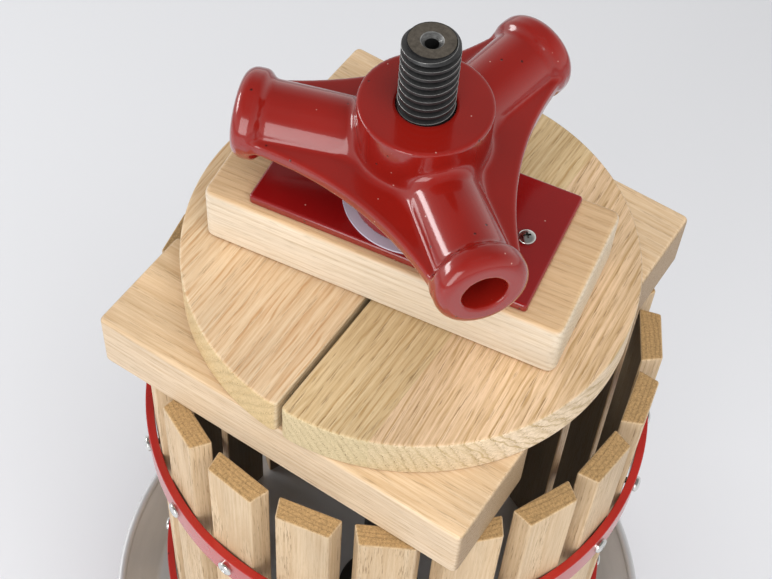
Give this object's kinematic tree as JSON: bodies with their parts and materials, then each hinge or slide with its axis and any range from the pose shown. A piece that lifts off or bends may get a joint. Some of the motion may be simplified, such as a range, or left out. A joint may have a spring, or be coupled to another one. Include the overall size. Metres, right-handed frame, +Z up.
{
  "type": "fruit press",
  "caption": "Fruit press: hooped basket of wooden slats in a spouted pan on legs, with a fixed threaded spindle, press boards, block and a crown nut with bar sockets.",
  "frame": {"origin": "on the floor, on the spindle's axis, at the middle of the circle of floor-screw holes", "axes": "+Z up along the spindle, +X along the planks to the right of the spout's side, -Y to the front, where the spout points"},
  "size_m": [0.408, 0.4495, 0.7323],
  "materials": {
    "nut_red": "gloss",
    "plate_red": "gloss",
    "hoop_red": "gloss",
    "stand_red": "gloss",
    "stainless": "satin",
    "spindle_steel": "satin",
    "zinc": "satin",
    "screw_chrome": "polished",
    "slat_wood": "satin",
    "plank_wood": "satin",
    "board_wood": "satin",
    "block_wood": "satin",
    "nylon": "satin",
    "black_rubber": "matte"
  },
  "bodies": {
    "stand": {"base_plate": "stand_red", "leg_right": "stand_red", "leg_back": "stand_red", "leg_left": "stand_red", "foot_pad_right": "black_rubber", "foot_pad_back": "black_rubber", "foot_pad_left": "black_rubber", "leg_bolts": "zinc", "juice_pan": "stainless", "pour_spout": "stainless", "pan_gasket": "black_rubber", "spindle": "spindle_steel", "spindle_collar": "spindle_steel", "spindle_washer": "zinc", "spindle_nut": "zinc"},
    "basket": {"slat_01": "slat_wood", "slat_02": "slat_wood", "slat_03": "slat_wood", "slat_04": "slat_wood", "slat_05": "slat_wood", "slat_06": "slat_wood", "slat_07": "slat_wood", "slat_08": "slat_wood", "slat_09": "slat_wood", "slat_10": "slat_wood", "slat_11": "slat_wood", "slat_12": "slat_wood", "slat_13": "slat_wood", "slat_14": "slat_wood", "slat_15": "slat_wood", "slat_16": "slat_wood", "slat_17": "slat_wood", "slat_18": "slat_wood", "slat_19": "slat_wood", "slat_20": "slat_wood", "upper_hoop": "hoop_red", "lower_hoop": "hoop_red", "upper_hoop_screws": "screw_chrome", "lower_hoop_screws": "screw_chrome"},
    "front_plank": {"front_plank": "plank_wood"},
    "back_plank": {"back_plank": "plank_wood"},
    "left_board": {"left_board": "board_wood"},
    "right_board": {"right_board": "board_wood"},
    "press_block": {"press_block": "block_wood", "thrust_plate": "plate_red", "plate_screws": "screw_chrome"},
    "slip_washer": {"slip_washer": "nylon"},
    "crown_nut": {"crown_nut": "nut_red"}
  },
  "joints": [
    {"name": "basket_lift", "type": "slide", "parent": "stand", "child": "basket", "axis": [0, 0, 1], "range_m": [0, 0.04]},
    {"name": "front_plank_slide", "type": "slide", "parent": "basket", "child": "front_plank", "axis": [0, -1, 0], "range_m": [0, 0.05]},
    {"name": "back_plank_slide", "type": "slide", "parent": "basket", "child": "back_plank", "axis": [0, 1, 0], "range_m": [0, 0.05]},
    {"name": "left_board_slide", "type": "slide", "parent": "basket", "child": "left_board", "axis": [-1, 0, 0], "range_m": [0, 0.05]},
    {"name": "right_board_slide", "type": "slide", "parent": "basket", "child": "right_board", "axis": [1, 0, 0], "range_m": [0, 0.05]},
    {"name": "press_swivel", "type": "hinge", "parent": "basket", "child": "press_block", "pos_m": [0, 0, 0.6], "axis": [0, 0, 1], "continuous": true},
    {"name": "nut_travel", "type": "slide", "parent": "press_block", "child": "slip_washer", "axis": [0, 0, 1], "range_m": [0, 0.0501]},
    {"name": "nut_turn", "type": "hinge", "parent": "slip_washer", "child": "crown_nut", "pos_m": [0, 0, 0.65], "axis": [0, 0, 1], "range_deg": [0, 3600]}
  ],
  "couplings": [
    {"joint": "nut_travel", "follows": "nut_turn", "m_per_rad": 0.00079577}
  ]
}
